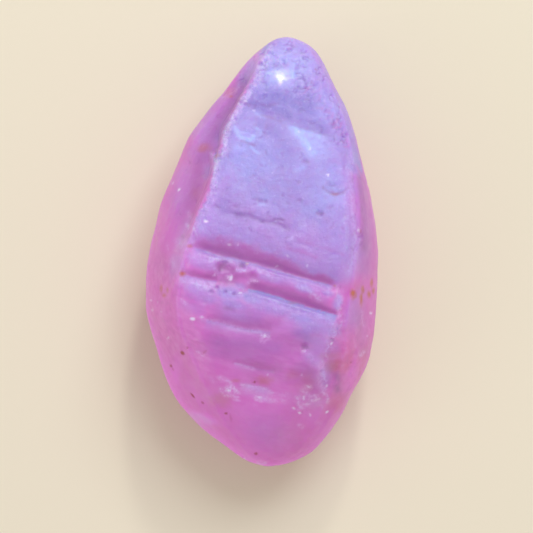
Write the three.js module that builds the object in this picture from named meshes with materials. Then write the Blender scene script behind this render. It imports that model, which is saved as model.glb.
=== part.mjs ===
// A rough pink sapphire: one loose corundum crystal, pointed at both ends and worn smooth in a river.
//
// Units are millimetres, +Z up. The crystal lies on its flat worn back at Z = 0, with the origin under
// its middle. Its long axis is Y, the sharper tip is at +Y, and the broad face with the growth ledges
// looks up.
//
// The solid is a loft. Ridges run from tip to tip and growth layers cut across them at a slant. Each
// layer gives one ring of points: a six-sided outline with worn corners. Growth ledges, a hollow and
// dents are then pressed into the rings.

import * as THREE from "three";

// Driving dimensions.
const LENGTH = 16;
const WIDTH = 8.6;
const THICKNESS = 6.2;
const LAYER_SLANT = 0.27; // a growth layer falls this far along Y for each millimetre along X
const LAYER_BOW = 0.013; // and bends down by this for each square millimetre

// The tips and the six ridges between them, from the blunt tip to the sharp one, as they stand on the
// worn stone. Each point is [x, y, z] in shares of the half width, the half length and the thickness.
const BLUNT_TIP = [0.035, -1, 0.42];
const SHARP_TIP = [0.234, 1, 0.46];

const FACE_LEFT = [
  [0.01, -0.99, 0.475], [-0.05, -0.95, 0.55], [-0.165, -0.85, 0.65], [-0.346, -0.664, 0.785],
  [-0.511, -0.478, 0.875], [-0.641, -0.291, 0.945], [-0.67, -0.114, 0.985], [-0.61, 0.058, 1],
  [-0.5, 0.22, 0.97], [-0.41, 0.35, 0.93], [-0.33, 0.5, 0.875], [-0.25, 0.61, 0.825],
  [-0.13, 0.745, 0.755], [-0.02, 0.87, 0.675], [0.07, 0.945, 0.605], [0.16, 0.99, 0.53],
];
const FACE_RIGHT = [
  [0.08, -0.99, 0.475], [0.18, -0.95, 0.54], [0.34, -0.85, 0.63], [0.5, -0.68, 0.74],
  [0.6, -0.5, 0.83], [0.66, -0.338, 0.885], [0.7, -0.2, 0.915], [0.74, -0.06, 0.93],
  [0.775, 0.1, 0.92], [0.765, 0.28, 0.885], [0.71, 0.5, 0.81], [0.62, 0.7, 0.725],
  [0.5, 0.85, 0.645], [0.39, 0.945, 0.575], [0.29, 0.99, 0.515],
];
const FLANK_RIGHT = [
  [0.13, -0.992, 0.42], [0.251, -0.977, 0.42], [0.407, -0.939, 0.42], [0.563, -0.846, 0.42],
  [0.727, -0.706, 0.42], [0.866, -0.562, 0.42], [0.952, -0.431, 0.42], [0.985, -0.268, 0.43],
  [0.996, -0.044, 0.44], [0.944, 0.198, 0.46], [0.848, 0.408, 0.48], [0.736, 0.618, 0.48],
  [0.632, 0.758, 0.48], [0.511, 0.897, 0.47], [0.424, 0.963, 0.46], [0.346, 0.991, 0.46],
];
const HEEL_RIGHT = [
  [0.08, -0.985, 0.33], [0.15, -0.93, 0.22], [0.27, -0.8, 0.08], [0.38, -0.62, 0],
  [0.48, -0.3, 0], [0.52, 0, 0], [0.5, 0.3, 0], [0.42, 0.56, 0], [0.36, 0.76, 0.1],
  [0.31, 0.9, 0.23], [0.27, 0.98, 0.37],
];
const HEEL_LEFT = [
  [-0.01, -0.985, 0.33], [-0.08, -0.93, 0.23], [-0.22, -0.8, 0.09], [-0.38, -0.6, 0],
  [-0.5, -0.3, 0], [-0.54, 0, 0], [-0.48, 0.3, 0], [-0.3, 0.55, 0], [-0.04, 0.75, 0.1],
  [0.12, 0.9, 0.24], [0.19, 0.98, 0.37],
];
const FLANK_LEFT = [
  [-0.04, -0.992, 0.42], [-0.13, -0.972, 0.42], [-0.36, -0.885, 0.42], [-0.589, -0.781, 0.42],
  [-0.727, -0.702, 0.42], [-0.883, -0.51, 0.42], [-0.978, -0.338, 0.42], [-1.004, -0.175, 0.43],
  [-0.952, 0.058, 0.44], [-0.857, 0.268, 0.45], [-0.727, 0.417, 0.46], [-0.623, 0.548, 0.47],
  [-0.416, 0.688, 0.475], [-0.165, 0.855, 0.475], [0, 0.944, 0.47], [0.121, 0.991, 0.465],
];

// A ring's sides in order, from the striated face round by the right: the number of spans across the
// flat of each, and how far the wear reaches on both sides of the ridge that the side starts at.
const SIDES = [
  { name: "striated", spans: 23, wear: 0.32 },
  { name: "right", spans: 6, wear: 0.9 },
  { name: "underRight", spans: 4, wear: 1.1 },
  { name: "back", spans: 3, wear: 0.8 },
  { name: "underLeft", spans: 4, wear: 0.8 },
  { name: "left", spans: 8, wear: 1.1 },
];
const CORNER_SPANS = 3;
const MOST_WORN = 0.45; // the share of a side that the wear may take at either end
const HEEL_LIFT = 1.2; // ridges lower than this are cut in rather than built out to make room for the wear
const BLUNT_WEAR = { from: -1.3, to: -4.6, extra: 1.6 }; // the ridges are rounder towards the blunt tip

// Growth ledges. at is the layer where the groove is deepest. The wall above it curves in over reach,
// the lip below it comes back out over lip, and from and to say which share of the side it crosses.
const LEDGES = [
  { side: "striated", at: 5.04, depth: 0.08, reach: 0.7, lip: 0.2, from: 0, to: 0.95 },
  { side: "striated", at: 1.14, depth: 0.05, reach: 0.3, lip: 0.25, from: 0.1, to: 0.6 },
  { side: "striated", at: -0.5, depth: 0.3, reach: 0.8, lip: 0.24, from: 0.06, to: 0.94 },
  { side: "striated", at: -1.49, depth: 0.2, reach: 0.36, lip: 0.2, from: 0.03, to: 0.22 },
  { side: "striated", at: -1.5, depth: 0.32, reach: 0.65, lip: 0.22, from: 0.43, to: 0.95 },
  { side: "striated", at: -3.0, depth: 0.09, reach: 0.55, lip: 0.25, from: 0.12, to: 0.7 },
  { side: "striated", at: -4.3, depth: 0.06, reach: 0.45, lip: 0.25, from: 0.2, to: 0.65 },
  { side: "underRight", at: 2.3, depth: 0.14, reach: 1.4, lip: 0.7, from: 0.35, to: 0.75 },
  { side: "underRight", at: -1.9, depth: 0.18, reach: 1.6, lip: 0.7, from: 0.35, to: 0.7 },
  { side: "underLeft", at: 1.1, depth: 0.16, reach: 1.5, lip: 0.7, from: 0.35, to: 0.7 },
  { side: "underLeft", at: -3.1, depth: 0.12, reach: 1.2, lip: 0.6, from: 0.3, to: 0.65 },
];
const LEDGE_END = { striated: 0.05, underRight: 0.25, underLeft: 0.25 }; // the share it runs out over

// The left edge of the striated face stands proud of a hollow that runs beside it.
const HOLLOW = { from: -0.6, to: 7, fade: 1.2, depth: 0.32, steep: 0.5, width: 2.2 };

// Chips and dents, each around a point [x, y, z] of the surface.
const DENTS = [
  { at: [-1.1, -0.85, 5.9], radius: 0.9, depth: 0.26 },
  { at: [-0.5, -1.15, 5.9], radius: 0.7, depth: 0.16 },
  { at: [-1.7, 3.6, 4.9], radius: 0.65, depth: 0.22 },
  { at: [2.7, 2.25, 5.6], radius: 0.5, depth: 0.1 },
  { at: [-0.4, -5, 5.1], radius: 1.3, depth: 0.12 },
  { at: [1.75, -5.9, 4.4], radius: 1.2, depth: 0.14 },
  { at: [1.5, -3.45, 5.6], radius: 0.8, depth: 0.1 },
  { at: [-3.2, -3.9, 4], radius: 1.9, depth: 0.09 },
  { at: [3.6, -2.4, 4.4], radius: 1.9, depth: 0.11 },
  { at: [3.4, 0.9, 1.4], radius: 2.2, depth: 0.14 },
  { at: [-3.3, 1.8, 1.5], radius: 2.3, depth: 0.16 },
  { at: [-2.9, -4.4, 1.3], radius: 2, depth: 0.12 },
  { at: [2.6, -5.2, 1.2], radius: 2, depth: 0.12 },
];

const EVEN_LAYERS = 48;
const TIP_GAPS = [0.025, 0.08, 0.17];
const CLOSEST_LAYERS = 0.05;

const place = ([x, y, z]) => new THREE.Vector3((x * WIDTH) / 2, (y * LENGTH) / 2, z * THICKNESS);
const fall = (x) => LAYER_SLANT * x + LAYER_BOW * x * x;
const layerOf = (point) => point.y + fall(point.x);
const ease = THREE.MathUtils.smoothstep;
const between = (value, low, high, edge) =>
  ease(value, low - edge, low + edge) * (1 - ease(value, high - edge, high + edge));

/** A ridge from tip to tip. at(layer) is the point, in X and Z, where a growth layer crosses it. */
class Ridge {
  constructor(points) {
    const all = [BLUNT_TIP, ...points, SHARP_TIP].map(place);
    this.curve = new THREE.CatmullRomCurve3(all, false, "centripetal");
  }

  at(layer) {
    let low = 0;
    let high = 1;
    for (let halving = 0; halving < 30; halving++) {
      const middle = (low + high) / 2;
      if (layerOf(this.curve.getPoint(middle)) < layer) low = middle;
      else high = middle;
    }
    const found = this.curve.getPoint(low);
    return new THREE.Vector2(found.x, Math.max(0, found.z));
  }
}

const RIDGES = [FACE_LEFT, FACE_RIGHT, FLANK_RIGHT, HEEL_RIGHT, HEEL_LEFT, FLANK_LEFT].map(
  (points) => new Ridge(points),
);

/** The six corners of a layer before the wear, which then rounds them back to the ridges. */
function cornersOf(layer) {
  const worn = RIDGES.map((ridge) => ridge.at(layer));
  const extra = BLUNT_WEAR.extra * ease(-layer, -BLUNT_WEAR.from, -BLUNT_WEAR.to);
  return worn.map((corner, i) => {
    const before = worn.at(i - 1).clone().sub(corner);
    const after = worn[(i + 1) % worn.length].clone().sub(corner);
    const room = MOST_WORN * Math.min(before.length(), after.length());
    const wear = Math.min(SIDES[i].wear + extra, room);
    const inward = before.setLength(wear / 2).add(after.setLength(wear / 2));
    const sharp = corner.clone().addScaledVector(inward, -0.5 * Math.min(1, corner.y / HEEL_LIFT));
    return { wear, sharp };
  });
}

/** How deep the ledges of a side are at a layer and a share of the way across. */
function ledgeDepth(name, layer, across) {
  const depths = LEDGES.filter(({ side }) => side === name).map((ledge) => {
    const above = layer - ledge.at;
    const wall = above > 0 ? Math.max(0, 1 - above / ledge.reach) ** 2 : 1 + above / ledge.lip;
    return ledge.depth * Math.max(0, wall) * between(across, ledge.from, ledge.to, LEDGE_END[name]);
  });
  return Math.max(0, ...depths);
}

/** How deep the hollow is at a layer and a distance from the striated face's left edge. */
function hollowDepth(layer, distance) {
  const near = ease(distance, 0, HOLLOW.steep);
  const far = 1 - ease(distance, HOLLOW.steep, HOLLOW.width);
  return HOLLOW.depth * near * far * between(layer, HOLLOW.from, HOLLOW.to, HOLLOW.fade);
}

/** How deep the dents are at a point. */
function dentDepth(point) {
  const depths = DENTS.map(({ at, radius, depth }) => {
    const away = point.distanceTo(new THREE.Vector3(...at)) / radius;
    return depth * Math.max(0, 1 - away * away) ** 2;
  });
  return Math.max(...depths);
}

/** The outline of a layer: points, each with its side and the direction into the stone. */
function outline(layer) {
  const corners = cornersOf(layer);
  const points = [];
  SIDES.forEach(({ name, spans }, i) => {
    const start = corners[i];
    const end = corners[(i + 1) % corners.length];
    const beyond = corners[(i + 2) % corners.length];
    const along = end.sharp.clone().sub(start.sharp).normalize();
    const turned = beyond.sharp.clone().sub(end.sharp).normalize();
    const first = start.sharp.clone().addScaledVector(along, start.wear);
    const last = end.sharp.clone().addScaledVector(along, -end.wear);
    const far = end.sharp.clone().addScaledVector(turned, end.wear);
    const bend = new THREE.QuadraticBezierCurve(last, end.sharp, far);
    for (let n = 0; n < spans + CORNER_SPANS; n++) {
      const turn = Math.max(0, n - spans) / CORNER_SPANS;
      const at = n < spans ? first.clone().lerp(last, n / spans) : bend.getPoint(turn);
      const way = along.clone().lerp(turned, turn).normalize();
      const across = at.clone().sub(start.sharp).dot(along) / end.sharp.distanceTo(start.sharp);
      points.push({ name, at, across, inward: new THREE.Vector2(way.y, -way.x) });
    }
  });
  return { points, edge: corners[0].sharp };
}

/** One ring of points, with the ledges, the hollow and the dents pressed in. */
function ring(layer) {
  const { points, edge } = outline(layer);
  return points.map(({ name, at, across, inward }) => {
    const hollow = name === "left" ? hollowDepth(layer, at.distanceTo(edge)) : 0;
    const dent = dentDepth(new THREE.Vector3(at.x, layer - fall(at.x), at.y));
    const { x, y } = at.addScaledVector(inward, ledgeDepth(name, layer, across) + hollow + dent);
    return new THREE.Vector3(x, layer - fall(x), Math.max(0, y));
  });
}

/** The layers that get a ring: one at each turn of a ledge, and closer together at the tips. */
function layers() {
  const bottom = layerOf(place(BLUNT_TIP));
  const top = layerOf(place(SHARP_TIP));
  const sharp = LEDGES.filter(({ side }) => side === "striated");
  const marks = sharp.flatMap(({ at, reach, lip }) => [at - lip, at, at + reach / 3, at + reach]);
  const even = Array.from({ length: EVEN_LAYERS }, (_, i) => (i + 1) / (EVEN_LAYERS + 1));
  marks.push(...even.map((share) => THREE.MathUtils.lerp(bottom, top, share)));
  for (const gap of TIP_GAPS) marks.push(bottom + gap, top - gap);
  marks.sort((a, b) => a - b);
  return marks.filter((mark, i) => i === 0 || mark - marks[i - 1] > CLOSEST_LAYERS);
}

function crystalGeometry() {
  const loops = layers().map(ring);
  const count = loops[0].length;
  const vertices = [place(BLUNT_TIP), ...loops.flat(), place(SHARP_TIP)];
  const id = (r, c) => 1 + r * count + (c % count);
  const last = vertices.length - 1;
  const faces = [];
  for (let c = 0; c < count; c++) {
    faces.push(0, id(0, c + 1), id(0, c));
    for (let r = 0; r + 1 < loops.length; r++) {
      faces.push(id(r, c), id(r + 1, c + 1), id(r + 1, c));
      faces.push(id(r, c), id(r, c + 1), id(r + 1, c + 1));
    }
    faces.push(last, id(loops.length - 1, c), id(loops.length - 1, c + 1));
  }
  const geometry = new THREE.BufferGeometry();
  const coordinates = vertices.flatMap((vertex) => vertex.toArray());
  geometry.setAttribute("position", new THREE.Float32BufferAttribute(coordinates, 3));
  geometry.setIndex(faces);
  geometry.computeVertexNormals();
  return geometry;
}

const sapphire = new THREE.MeshStandardMaterial({ color: 0xcb83c4, roughness: 0.38, metalness: 0 });
const crystal = new THREE.Mesh(crystalGeometry(), sapphire);
crystal.name = "sapphire_crystal";

const part = new THREE.Group();
part.add(crystal);
export default part;
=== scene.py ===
"""A rough pink sapphire: a river-worn corundum crystal with a frosted skin, laid on its flat back.

Everything is in metres, +Z up, in the same frame as the solid that the crystal is refined from.
Marks on the stone are listed in millimetres, by X and Y as seen from above.
"""

import math

import bpy
import numpy as np
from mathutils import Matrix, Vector, noise


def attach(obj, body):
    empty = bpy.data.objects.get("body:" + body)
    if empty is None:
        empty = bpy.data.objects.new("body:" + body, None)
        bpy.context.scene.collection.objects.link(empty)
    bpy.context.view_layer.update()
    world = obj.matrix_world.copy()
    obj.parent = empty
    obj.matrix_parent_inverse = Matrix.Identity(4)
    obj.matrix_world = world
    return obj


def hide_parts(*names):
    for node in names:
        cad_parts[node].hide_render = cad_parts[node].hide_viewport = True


bl_info = {
    "name": "Rough pink sapphire",
    "version": (1, 0, 0),
    "blender": (4, 5, 0),
    "location": "3D View > Sidebar > Sapphire",
    "description": "A river-worn pink sapphire crystal, built around its packed solid",
    "category": "Add Mesh",
}

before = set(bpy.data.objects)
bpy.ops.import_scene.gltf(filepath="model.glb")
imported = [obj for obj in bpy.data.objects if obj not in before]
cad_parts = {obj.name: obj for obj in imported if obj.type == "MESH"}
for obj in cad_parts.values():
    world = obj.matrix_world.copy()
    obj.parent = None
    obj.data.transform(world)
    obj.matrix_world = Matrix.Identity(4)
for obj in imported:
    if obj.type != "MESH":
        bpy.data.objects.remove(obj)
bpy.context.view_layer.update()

NODE = "sapphire_crystal"
MM = 0.001

# The growth layers run down to the right: how much Y they lose for each step in X, and that slant in
# radians. Their colour bands are this many times longer than wide.
LAYER_SLANT = 0.27
LAYER_TURN = -0.263
LAYER_STRETCH = 3.5

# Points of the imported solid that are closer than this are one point.
MERGE_DISTANCE = 0.001 * MM
# How strong one pass of smoothing is, and the passes over the whole stone, its flanks, its flats and
# the feet of its ledges.
SMOOTHING = 0.5
STONE_PASSES = 6
FLANK_PASSES = 180
FLAT_PASSES = 30
FOOT_PASSES = 12

# Crescent marks on the flanks and finer ones on the skin: smallest and largest radius, and depth.
KNOCK_RADII = (0.1, 0.28)
KNOCK_DEPTH = 0.035
PECK_RADII = (0.04, 0.12)
PECK_DEPTH = 0.03
# The width of the groove that such a crescent leaves, and of the chips beside the right edge.
KNOCK_RIM = 0.045
CHIP_RIM = 0.05
# Broad worn hollows: smallest and largest radius, and depth as a share of it.
DENT_RADII = (0.5, 1.3)
DENT_DEPTHS = (0.04, 0.11)
DENT_SEED = 3

# The sockets of a Mix node that are for colours.
MIX_SHARE, MIX_FIRST, MIX_SECOND, MIX_RESULT = 0, 6, 7, 2

FLOOR_SIZE = 1.6
FLOOR_DROP = 0.02 * MM
ROOM_COLOUR = "#F7F5F4"
ROOM_STRENGTH = 0.6
# Square soft lights: the name, place, aim, size, power in watts and colour.
LIGHTS = [
    ("window", (0.045, 0.09, 0.13), (0, 0, 0.004), 0.08, 0.13, "#E6EAFF"),
    ("lamp", (0.0172, 0.0996, 0.0782), (0, 0, 0.004), 0.011, 0.026, "#FFFFFF"),
    ("left_fill", (-0.12, -0.07, 0.04), (0, 0, 0.003), 0.09, 0.035, "#F4E4FF"),
]
# The middle of the picture, at about the height of the stone's widest line.
VIEW_CENTRE = Vector((0.168, -0.522, 2.7)) * MM
SENSOR_WIDTH = 36


# ----------------------------------------------------------
# Lines on the upper side, in millimetres.

LEFT_EDGE = [
    (0.2, 7.53), (0.08, 7.22), (-0.14, 6.84), (-0.28, 6.5), (-0.42, 6.25), (-0.6, 5.92), (-0.84, 5.6),
    (-0.96, 5.3), (-1.17, 4.95), (-1.3, 4.7), (-1.44, 4.38), (-1.46, 3.9), (-1.5, 3.74), (-1.8, 3.56),
    (-1.76, 3.3), (-1.82, 2.8), (-1.9, 2.3), (-2.08, 1.84), (-2.36, 1.42), (-2.5, 1.1), (-2.61, 0.62),
    (-2.76, 0.28), (-3.02, -0.65),
]
# Below the left edge the layers run out over a worn shoulder.
SHOULDER = [(-2.5, 1.1), (-2.76, 0.28), (-3.02, -0.65), (-3.1, -1.4), (-3.05, -2.3)]
# How light the crumbled edge of the skin is beside the left edge, partly a painted highlight on that
# ridge: Y and strength.
EDGE_HIGHLIGHT_BAND = [
    (0.7, 0.15), (1.4, 0.35), (2.2, 0.5), (2.8, 0.65), (3.3, 0.75), (4.4, 0.85), (5.2, 0.8), (5.9, 0.5),
    (6.6, 0.5), (7.4, 0.3),
]
RIGHT_EDGE = [
    (2.3, 6.6), (2.75, 5.84), (3.13, 4.2), (3.28, 2.82), (3.32, 1.55), (3.47, 0.62), (3.47, -0.02),
    (3.21, -0.65), (2.85, -1.29), (2.9, -2.1), (2.85, -2.6), (2.55, -3.3), (2.2, -4.33), (2.38, -4.97),
]
CRUMBLED_RIGHT_EDGE = RIGHT_EDGE[8:]

# Growth ledges. line is the foot of the wall, reach how far the wall goes above it from end to end,
# lip the width of the lip below it, depth how deep the foot is cut. pink is how strong the wall's
# deep pink is, which is clear pink and painted shade, lilac how frosted the lip is, with a painted
# lighter sheen, and veil how far that frosting spreads.
LEDGES = [
    dict(
        line=[
            (-2.68, 0.19), (-2.19, 0.09), (-1.82, -0.05), (-1.54, -0.14), (-1.07, -0.23), (-0.6, -0.36),
            (-0.29, -0.45), (0.17, -0.59), (0.49, -0.66), (0.8, -0.77), (1.42, -0.96), (2.7, -1.27),
        ],
        reach=(0.4, 0.92, 0.82, 0.7, 0.5, 0.36), lip=0.12, depth=0.01, pink=0.76, lilac=0.75, veil=0.45,
    ),
    dict(
        line=[(-3.03, -0.83), (-2.69, -0.87), (-2.31, -0.95), (-1.88, -1.04), (-1.6, -1.08)],
        reach=(0.3, 0.45), lip=0.1, depth=0.01, pink=0.75, lilac=0.5, veil=0.5,
    ),
    dict(
        line=[(-0.62, -1.31), (0.74, -1.7), (1.67, -2.02), (2.84, -2.36)],
        reach=(0.6, 0.8, 0.75, 0.5, 0.2), lip=0.12, depth=0.01, pink=0.72, lilac=1, veil=0.8,
    ),
    dict(
        line=[(-2.1, -2.46), (-0.82, -2.8), (0.4, -2.95)],
        reach=(0.3, 0.6), lip=0.12, depth=0.02, pink=0.5, lilac=0.5, veil=0.25,
    ),
    dict(
        line=[(-1.08, -4.05), (-0.19, -4.27), (0.49, -4.38)],
        reach=(0.3, 0.3), lip=0.1, depth=0.03, pink=0.2, lilac=0.25, veil=0.1,
    ),
    dict(
        line=[(-0.63, 5.4), (0.3, 4.96), (0.71, 4.8), (1.13, 4.69), (2.7, 4.2)],
        reach=(0.55, 0.25), lip=0.1, depth=0.015, pink=0.06, lilac=0, veil=0.3,
    ),
    dict(
        line=[(1.2, 0.38), (2.1, 0.1), (3.1, -0.22)],
        reach=(0.25, 0.2), lip=0.1, depth=0.015, pink=0.1, lilac=0, veil=0.15,
    ),
    dict(
        line=[(0.8, 0.05), (1.4, -0.1), (2.0, -0.32)],
        reach=(0.3, 0.25), lip=0.1, depth=0.015, pink=0.18, lilac=0, veil=0.15,
    ),
]
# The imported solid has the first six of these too. The first three are the two long ones: the second
# of those is in two parts.
SOLID_LEDGES = LEDGES[:6]
LONG_LEDGES = LEDGES[:3]
TIP_STEP = LEDGES[5]["line"]

# Grooves and cracks: the line, the half width and the depth.
GROOVES = [
    ([(-1.2, 1.42), (-0.5, 1.34), (0.02, 1.12), (0.5, 1.03), (1.0, 0.82)], 0.12, 0.05),
    ([(0.4, 1.2), (0.8, 1.17)], 0.08, 0.04),
    (
        [
            (2.22, 2.42), (2.34, 2.32), (2.46, 2.2), (2.6, 2.17), (2.7, 2.09), (2.82, 2.17), (2.96, 2.2),
            (3.18, 2.34),
        ],
        0.07, 0.025,
    ),
    ([(-0.1, 5.46), (0.2, 5.36), (0.7, 5.48)], 0.08, 0.02), ([(0.32, 2.68), (0.72, 2.82)], 0.07, 0.02),
]
# The hollow beside the left edge, where painted shade makes the pink deepest, and its half width at the
# two ends.
HOLLOW_SHADE = [
    (-0.45, 6.75), (-0.85, 6.1), (-1.25, 5.4), (-1.65, 4.7), (-1.98, 4.0), (-2.25, 3.2), (-2.35, 2.5),
    (-2.6, 1.85), (-2.95, 1.15), (-3.3, 0.5), (-3.5, -0.2), (-3.62, -1.0), (-3.55, -1.9),
]
HOLLOW_WIDTHS = (0.26, 0.42)

# ----------------------------------------------------------
# Marks of the shape.

# Pits: X, Y, radius and depth.
PITS = [
    (1.58, 3.33, 0.12, 0.035), (-0.08, 1.88, 0.1, 0.045), (0.1, 1.86, 0.09, 0.045),
    (2.12, 1.44, 0.15, 0.05), (1.35, 1.87, 0.09, 0.04), (0.92, 1.77, 0.1, 0.02), (-1.61, 1.63, 0.1, 0.03),
    (3.59, 0.58, 0.13, 0.08), (-1.42, -0.52, 0.25, 0.11), (-0.7, -0.5, 0.12, 0.07),
    (1.57, -3.46, 0.15, 0.08), (-1.64, -1.29, 0.09, 0.05), (-1.33, -1.45, 0.08, 0.05),
    (-1.02, -1.54, 0.08, 0.05), (-1.85, -1.43, 0.09, 0.05), (-1.19, -2.05, 0.22, 0.03),
    (-1.64, 3.55, 0.2, 0.07), (-1.12, -0.6, 0.2, 0.04), (-0.35, -0.85, 0.2, 0.05),
    (0.12, 7.15, 0.09, 0.05), (2.57, -3.2, 0.08, 0.04), (-0.1, 6.95, 0.1, 0.05), (0.05, 6.6, 0.08, 0.04),
    (0.02, 7.32, 0.1, 0.04), (0.28, 7.4, 0.07, 0.04), (0.75, 7.2, 0.1, 0.03), (0.55, 7.0, 0.1, 0.03),
    (1.28, 6.78, 0.08, 0.03), (1.95, 6.7, 0.09, 0.03), (3.08, 4.35, 0.07, 0.04), (3.1, 4.12, 0.09, 0.04),
    (3.11, 3.93, 0.07, 0.03), (2.88, 1.62, 0.07, 0.02), (-0.78, 5.52, 0.07, 0.05),
    (-2.1, 1.22, 0.06, 0.03),
]
# A chain of crescent chips runs down beside the right edge: X, Y and radius of each.
CRESCENTS = [
    (1.45, 5.98, 0.16), (1.7, 6.18, 0.14), (1.98, 6.08, 0.15), (1.98, 5.72, 0.16), (2.16, 5.45, 0.15),
    (2.36, 5.3, 0.15), (2.45, 5.05, 0.14), (2.6, 4.86, 0.15), (2.78, 4.7, 0.12), (2.9, 4.42, 0.1),
    (3.04, 4.16, 0.1), (3.1, 3.95, 0.09),
]
# Crumbled patches: X, Y, how far they reach along X and Y, and strength.
CRUMBLED = [
    (-0.75, -0.65, 0.3, 0.12, 0.3), (-0.3, -1.1, 0.4, 0.15, 0.35), (-1.15, -5.08, 0.4, 0.2, 0.6),
    (-0.05, -5.38, 0.35, 0.16, 0.5), (1.75, -5.4, 0.75, 0.3, 0.5), (1.5, -5.75, 0.4, 0.35, 0.4),
    (1.5, 6.2, 0.8, 0.9, 0.3), (0.3, 7.1, 0.8, 0.6, 0.6), (-0.55, 4.25, 0.5, 0.4, 0.25),
    (2.05, -1.6, 0.5, 0.22, 0.45), (-2.6, 0.85, 0.3, 0.55, 0.45), (1.55, -3.6, 0.2, 0.12, 0.7),
    (0.1, -3.15, 0.3, 0.12, 0.5), (-1.5, -4.7, 0.35, 0.1, 0.3),
]

# ----------------------------------------------------------
# Marks of the colour.

# Pale frosting outside the upper face, with a painted cool sheen as on the skin, spread along the growth
# layers: X, Y, how far it reaches along and across the layers, and strength.
VEILS = [
    (0.5, -2.0, 1.7, 0.55, 0.7), (1.9, -2.6, 1.4, 0.7, 0.7), (2.1, -3.4, 0.9, 0.9, 0.45),
    (-2.1, -1.5, 1.1, 0.6, 0.55), (-2.0, -0.4, 1.1, 0.45, 0.55), (1.5, -1.3, 0.6, 0.3, 0.8),
    (2.4, -1.5, 0.4, 0.2, 0.6), (-1.2, -2.75, 1.1, 0.25, 0.4), (2.35, -4.5, 0.3, 0.9, 0.35),
    (-0.2, -5.0, 0.9, 0.25, 0.15), (-0.5, 6.6, 0.6, 0.9, 0.65), (-1.0, -2.1, 1.4, 0.6, 0.4),
    (3.3, -2.2, 0.5, 1.2, 0.35), (-2.75, 0.9, 0.5, 0.7, 0.25), (0.4, -1.0, 1.3, 0.28, 0.7),
    (0.3, -6.6, 1.4, 0.9, 0.15), (-1.2, -1.5, 0.9, 0.4, 0.85), (-0.3, -1.7, 0.9, 0.35, 0.85),
    (-1.9, -1.7, 0.7, 0.35, 0.6), (-1.9, 4.6, 0.9, 2.4, 0.5), (-2.8, 2.4, 0.8, 1.6, 0.35),
    (3.3, 0.2, 0.5, 0.9, 0.6), (-1.1, -0.6, 0.8, 0.3, 0.5), (-2.85, 0.3, 0.45, 0.9, 0.3),
    (-3.05, -0.4, 0.4, 0.9, 0.3), (-0.75, -1.25, 0.35, 0.2, 0.6), (2.75, -1.85, 0.25, 0.45, 0.6),
    (-0.7, -2.4, 0.9, 0.3, 0.35), (3.2, 4.1, 0.35, 0.9, 0.75), (2.85, 5.0, 0.3, 0.8, 0.8),
    (3.3, 3.4, 0.3, 0.6, 0.7), (-2.0, 3.0, 0.3, 0.5, 0.6), (-2.5, -2.0, 0.7, 0.4, 0.3),
    (-1.0, -1.9, 1.0, 0.35, 0.7), (1.5, -2.4, 1.0, 0.4, 0.85),
]
# Pinkish milky haze, listed in the same way. The patch on the low left rim, at X -2.4 and Y -6.2, is
# partly a painted lavender sheen.
HAZES = [
    (-2.85, 0.5, 0.45, 1.0, 0.4), (-2.45, -1.2, 0.8, 0.3, 0.8), (-2.2, -0.2, 0.8, 0.35, 0.6),
    (-3.0, -0.4, 0.4, 0.8, 0.35), (2.1, 6.3, 0.5, 0.8, 0.5), (2.6, 5.2, 0.45, 0.9, 0.4),
    (-2.4, -6.2, 0.9, 0.3, 0.7), (1.9, -3.2, 0.5, 0.25, 0.5), (-1.7, -5.4, 0.6, 0.3, 0.3),
    (2.85, -1.75, 0.2, 0.5, 0.5), (3.25, -0.6, 0.4, 0.8, 0.85), (3.4, 3.4, 0.3, 0.7, 0.6),
    (-1.5, -0.25, 0.6, 0.15, 0.35), (-0.3, -5.15, 0.8, 0.25, 0.45), (-0.2, -5.0, 0.75, 0.15, 0.9),
    (0.1, -5.4, 0.45, 0.12, 0.7), (1.8, -5.4, 0.8, 0.35, 0.5), (2.1, -4.3, 0.35, 0.9, 0.5),
    (-1.6, -2.75, 0.7, 0.18, 0.3), (-0.6, -4.2, 0.5, 0.12, 0.25),
]
# Where the thin rim glows most with painted light, listed in the same way.
PAINTED_GLOWS = [(-2.4, -6.15, 1.0, 0.35, 1), (3.35, -4.6, 0.35, 1.0, 0.75), (-3.3, -4.7, 0.3, 1.3, 0.45)]
# Icy blue-white bruises in the upper face, and painted highlights: a halo round the glassy place, a
# lighter tip and the lit facet below the tip step. The line, half width and strength.
ICE_AND_HIGHLIGHTS = [
    ([(1.2, 4.55), (1.5, 4.15), (1.85, 3.68)], 0.2, 1), ([(1.55, 4.4), (2.05, 4.25)], 0.4, 0.65),
    ([(1.7, 4.1), (2.15, 3.8)], 0.4, 0.5), ([(0.1, 7.0), (0.9, 7.1), (1.4, 6.8)], 0.55, 0.45),
    ([(0.4, 6.6), (1.05, 6.6)], 0.34, 0.85), ([(0.1, 6.2), (0.5, 6.35)], 0.3, 0.3),
    ([(0.2, 3.0), (0.6, 2.6)], 0.7, 0.16), ([(-0.9, 3.3), (-0.6, 2.6)], 0.6, 0.14),
    ([(1.6, 2.2), (2.6, 1.9)], 0.5, 0.14),
    ([(-1.0, 4.57), (-0.76, 4.2), (-0.51, 4.1), (-0.32, 4.13), (-0.32, 4.27)], 0.09, 0.9),
    ([(-0.38, 3.85), (-0.25, 3.7), (-0.07, 3.6)], 0.06, 0.75), ([(-0.75, 4.35), (-0.4, 4.3)], 0.12, 0.4),
    ([(-0.95, 3.78), (-0.7, 3.76)], 0.14, 0.4), ([(-0.2, 4.55), (0.0, 4.45), (-0.05, 4.3)], 0.06, 0.4),
    ([(1.5, 3.1), (1.2, 2.95)], 0.1, 0.35), ([(0.3, 2.62), (0.75, 2.74)], 0.05, 0.35),
    ([(-0.05, 1.74), (0.1, 1.74)], 0.07, 0.45), ([(-0.2, 5.1), (0.1, 4.98)], 0.08, 0.4),
]
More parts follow.
